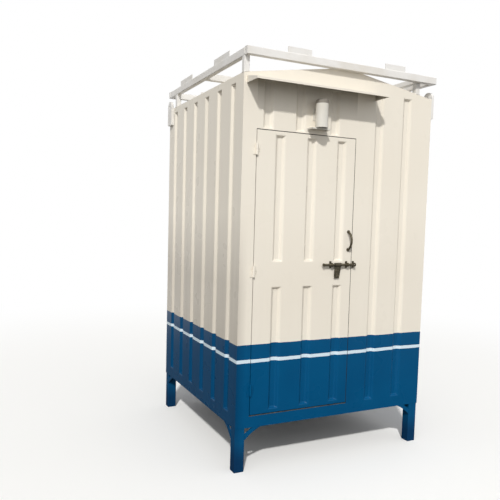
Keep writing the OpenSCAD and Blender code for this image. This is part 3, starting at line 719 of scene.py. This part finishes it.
# %% [markdown]
# ## Weld beads
# The tubes, lugs and braces are welded. A bump in the paint would be lighter, but it has
# no outline, and a bead shows most on an edge. So a bead is a thin rod laid along its
# seam, cut into rings, and every second ring is drawn in a little, which gives the ripples
# that a welder leaves. Half of each bead is sunk into the steel. Each bead is finished in
# its own bmesh and then added to the others of its kind, because cutting one into rings
# must not touch the rest.

# %% One weld bead
BEAD_RADIUS = 0.0028
BEAD_SIDES = 8
RIPPLE = 0.0032
DRAWN_IN = 0.78


def gather(bm, part):
    """Adds a finished bmesh to a larger one."""
    mesh = bpy.data.meshes.new("part")
    part.to_mesh(mesh)
    part.free()
    bm.from_mesh(mesh)
    bpy.data.meshes.remove(mesh)


def lay_bead(bm, start, end, radius):
    """Adds one rippled bead from start to end."""
    start, end = Vector(start), Vector(end)
    along = end - start
    rings = max(3, round(along.length / RIPPLE))
    bead = bmesh.new()
    bmesh.ops.create_cone(bead, cap_ends=True, segments=BEAD_SIDES, radius1=radius,
                          radius2=radius, depth=along.length)
    sides = [e for e in bead.edges if abs(e.verts[0].co.z - e.verts[1].co.z) > 1e-6]
    bmesh.ops.subdivide_edges(bead, edges=sides, cuts=rings)
    pitch = along.length / (rings + 1)
    for v in bead.verts:
        if round((v.co.z + along.length / 2) / pitch) % 2:
            v.co.x *= DRAWN_IN
            v.co.y *= DRAWN_IN
    turn = along.to_track_quat("Z", "Y").to_matrix().to_4x4()
    bmesh.ops.transform(bead, matrix=Matrix.Translation((start + end) / 2) @ turn,
                        verts=bead.verts)
    gather(bm, bead)


def weld(name, seams, slot, material, radius=BEAD_RADIUS):
    """Makes one piece of all the beads of one kind."""
    bm = bmesh.new()
    for start, end in seams:
        lay_bead(bm, start, end, radius)
    for face in bm.faces:
        face.smooth = True
    piece = place_piece(name, bm, "cabin", slot, material)
    print(name, len(seams), "beads,", len(piece.data.polygons), "faces")


print("one bead ripples every", RIPPLE, "m")

# %% [markdown]
# ## Welds of the roof frame
# The side tubes butt against the front and rear tubes, so every corner has a seam on the
# outer face, one on top and one on the inner face. A seam stops short of the tube's
# rounded corner.

# %% Welds of the roof frame
FRAME_TUBE = 0.038
CORNER = 0.006


def seams_of_roof_frame():
    """Seams between the tubes of the frame for the tank."""
    (_, y0, z0), (x1, y1, z1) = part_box("tank_side_tubes")
    inner = x1 - FRAME_TUBE
    seams = []
    for side in (-1, 1):
        for y in (y0, y1):
            seams += [((side * x1, y, z0 + CORNER), (side * x1, y, z1 - CORNER)),
                      ((side * (inner + CORNER), y, z1), (side * (x1 - CORNER), y, z1)),
                      ((side * inner, y, z0 + 0.004), (side * inner, y, z1 - 0.004))]
    return seams


weld("roof_frame_welds", seams_of_roof_frame(), "frame_white", frame_paint)

# %% [markdown]
# ## Welds of the cleats and the posts
# The cleats only locate the tank, so short stitches hold them. The posts of the frame
# carry it, so each is welded all round, and its seams follow the slope of the roof. A
# seam's middle is lifted a little over the roof's upper face, so that the bead shows. The
# rise is that of the whole roof with its 2 mm sheet, not of the slope alone, which puts
# the seams less than half a millimetre too high, too little to see.

# %% Welds of the cleats and the posts
CLEAT_PLATE = 0.005
SIDE_CLEATS = (-0.433, 0.275)
SIDE_STITCHES = (0.010, 0.110, 0.210)
SIDE_STITCH = 0.045
END_CLEATS = (-0.474, 0.298)
END_STITCHES = (0.008, 0.128)
END_STITCH = 0.040
ROOF_EDGE = 2.5640
ROOF_RISE = 0.126
HALF_WIDTH = 0.762
SEAM_LIFT = 0.0015
SEAM_INSET = 0.003


def seams_of_cleats():
    """Stitches along the feet of the cleats that stand on the tubes, on their inner side."""
    low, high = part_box("tank_cleats")
    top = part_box("tank_side_tubes")[1][2]
    seams = []
    for side in (-1, 1):
        x = side * (high[0] - CLEAT_PLATE)
        for start in SIDE_CLEATS:
            seams += [((x, start + at, top), (x, start + at + SIDE_STITCH, top))
                      for at in SIDE_STITCHES]
    for y in (low[1] + CLEAT_PLATE, high[1] - CLEAT_PLATE):
        for start in END_CLEATS:
            seams += [((start + at, y, top), (start + at + END_STITCH, y, top))
                      for at in END_STITCHES]
    return seams


def seam_height(x):
    """Height of a seam's middle, a little over the roof, at a place across the cabin."""
    slope = ROOF_RISE / HALF_WIDTH
    return ROOF_EDGE + SEAM_LIFT + slope * (HALF_WIDTH - abs(x))


def seams_of_posts():
    """Rings round the posts' feet."""
    low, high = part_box("tank_posts")
    seams = []
    for x in (low[0], high[0] - FRAME_TUBE):
        for y in (low[1], high[1] - FRAME_TUBE):
            x_far, y_far = x + FRAME_TUBE, y + FRAME_TUBE
            a, b = seam_height(x), seam_height(x_far)
            for row in (y, y_far):
                seams.append(((x + SEAM_INSET, row, a), (x_far - SEAM_INSET, row, b)))
            for column, z in ((x, a), (x_far, b)):
                seams.append(((column, y + SEAM_INSET, z), (column, y_far - SEAM_INSET, z)))
    return seams


weld("cleat_welds", seams_of_cleats(), "frame_white", frame_paint)
weld("post_welds", seams_of_posts(), "frame_white", frame_paint)

# %% [markdown]
# ## Welds of the lugs and the braces
# A lifting lug takes the weight of the whole cabin on its upright seams. The braces meet
# the leg on one side and the rail on the other, and only the outer faces show their seams.

# %% Welds of the lugs and the braces
LUG_WIDTH = 0.090
LUG_INSET = 0.004
LEG = 0.070
BRACE_RADIUS = 0.0025
BRACE_REACH = (0.057, 0.114)
BRACE_DROP = (0.042, 0.077)


def seams_of_lugs():
    """Upright seams beside the lifting lugs, and one under each."""
    (_, y0, z0), (_, y1, _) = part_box("lifting_lugs")
    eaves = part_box("left_wall")[1][2]
    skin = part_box("right_wall")[1][0]
    front, rear = y0 + LUG_WIDTH, y1 - LUG_WIDTH
    return [((skin, front, z0 + LUG_INSET), (skin, front, eaves - LUG_INSET)),
            ((skin, y0 + LUG_INSET, z0), (skin, front - LUG_INSET, z0)),
            ((-skin, rear, z0 + LUG_INSET), (-skin, rear, eaves - LUG_INSET)),
            ((-skin, rear + LUG_INSET, z0), (-skin, y1 - LUG_INSET, z0))]


def seams_of_braces():
    """Seams where the braces meet the legs and the rails, on the outer face."""
    (_, y0, _), (x1, y1, z1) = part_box("leg_braces")
    near, far = BRACE_REACH
    upper, lower = z1 - BRACE_DROP[0], z1 - BRACE_DROP[1]
    seams = []
    for side in (-1, 1):
        for y in (y0, y1):
            foot = side * (x1 - LEG)
            seams += [((foot, y, lower), (foot, y, upper)),
                      ((foot - side * near, y, z1), (foot - side * far, y, z1))]
    for y, back in ((y0 + LEG, 1), (y1 - LEG, -1)):
        for side in (-1, 1):
            x = side * x1
            seams += [((x, y, lower), (x, y, upper)),
                      ((x, y + back * near, z1), (x, y + back * far, z1))]
    return seams


weld("lug_welds", seams_of_lugs(), "frame_white", frame_paint)
weld("brace_welds", seams_of_braces(), "blue_enamel", enamel_paint, BRACE_RADIUS)

# %% [markdown]
# ## End plates of the frame's tubes
# Rain must not run into the long tubes of the roof frame, so a plate closes each open end.
# It sits inside the wall of the tube, a hair behind its end, with its edges ground round.
# A single face across the opening would do from afar, but a plate of real thickness keeps
# the shape closed and catches light on its rounded edge.

# %% End plates
PLATE_THICK = 0.003
TUBE_WALL = 0.003
SET_BACK = 0.0004
GROUND = 0.0006


def close_tube_ends():
    """Four small plates in the ends of the front and rear tubes."""
    low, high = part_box("tank_end_tubes")
    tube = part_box("tank_side_tubes")[0][1] - low[1]
    width = tube - 2 * TUBE_WALL
    height = high[2] - low[2] - 2 * TUBE_WALL
    bm = bmesh.new()
    for side in (-1, 1):
        for y in (low[1] + tube / 2, high[1] - tube / 2):
            plate = bmesh.new()
            bmesh.ops.create_cube(plate, size=1.0)
            bmesh.ops.scale(plate, vec=(PLATE_THICK, width, height), verts=plate.verts)
            bmesh.ops.bevel(plate, geom=plate.edges, offset=GROUND, segments=2, profile=0.5,
                            affect="EDGES", material=-1)
            place = (side * (high[0] - SET_BACK - PLATE_THICK / 2), y, (low[2] + high[2]) / 2)
            bmesh.ops.translate(plate, vec=place, verts=plate.verts)
            gather(bm, plate)
    piece = place_piece("tube_end_plates", bm, "cabin", "frame_white", frame_paint)
    print("tube_end_plates:", len(piece.data.polygons), "faces")


close_tube_ends()

# %% [markdown]
# ## Screws
# The bolt's loops, its keeper and the hinges sit on small plates. Domed screws hold the
# plates. A screw head is a flattened sphere whose rear half is sunk in its plate. One
# piece holds all the screws of one fitting, so that they ride with its body.

# %% One row of screws
BOLT_SCREW = 0.0034
HINGE_SCREW = 0.003
DOME = 0.55


def add_screw(bm, place, radius):
    """Adds one domed head that faces the front."""
    made = bmesh.ops.create_uvsphere(bm, u_segments=14, v_segments=8, radius=radius)["verts"]
    bmesh.ops.scale(bm, vec=(1, DOME, 1), verts=made)
    bmesh.ops.translate(bm, vec=place, verts=made)


def screw_rows(name, body, columns, rows, slot, material, radius):
    """Screws at every crossing of some columns and rows on the face of the plates."""
    bm = bmesh.new()
    for x in columns:
        for z in rows:
            add_screw(bm, (x, PLATE_FACE, z), radius)
    for face in bm.faces:
        face.smooth = True
    place_piece(name, bm, body, slot, material)
    print(name, len(columns) * len(rows), "screws")


PLATE_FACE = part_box("door_skin")[0][1] - 0.003
print("plates stand out to", round(PLATE_FACE, 4), "m")

# %% [markdown]
# ## Screws of the bolt and the hinges
# Two rows hold each of the bolt's plates, one over and one under the bar. A hinge has its
# screws above and below its middle, in one column on each leaf.

# %% Screws of the bolt and the hinges
BOLT_EDGE = 0.0045
LOOP_EDGE = 0.008
HINGE_EDGE = 0.0065
HINGE_MIDDLES = (0.540, 1.3185, 2.097)
FRAME_HOLES = (-0.022, 0.022)
LEAF_HOLES = (-0.010, 0.010)
loops_low, loops_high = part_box("bolt_loops")
keeper_low, keeper_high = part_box("bolt_keeper")
frame_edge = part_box("hinges_frame_half")[0][0]
leaf_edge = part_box("hinges_door_half")[1][0]
bolt_rows = (loops_low[2] + BOLT_EDGE, loops_high[2] - BOLT_EDGE)
screw_rows("loop_screws", "door", (loops_low[0] + LOOP_EDGE, loops_high[0] - LOOP_EDGE),
           bolt_rows, "dark_metal", iron, BOLT_SCREW)
screw_rows("keeper_screws", "cabin", ((keeper_low[0] + keeper_high[0]) / 2,),
           bolt_rows, "dark_metal", iron, BOLT_SCREW)
screw_rows("hinge_frame_screws", "cabin", (frame_edge + HINGE_EDGE,),
           [z + at for z in HINGE_MIDDLES for at in FRAME_HOLES],
           slot_of["hinges_frame_half"], enamel_paint, HINGE_SCREW)
screw_rows("hinge_leaf_screws", "door", (leaf_edge - HINGE_EDGE,),
           [z + at for z in HINGE_MIDDLES for at in LEAF_HOLES],
           slot_of["hinges_door_half"], enamel_paint, HINGE_SCREW)
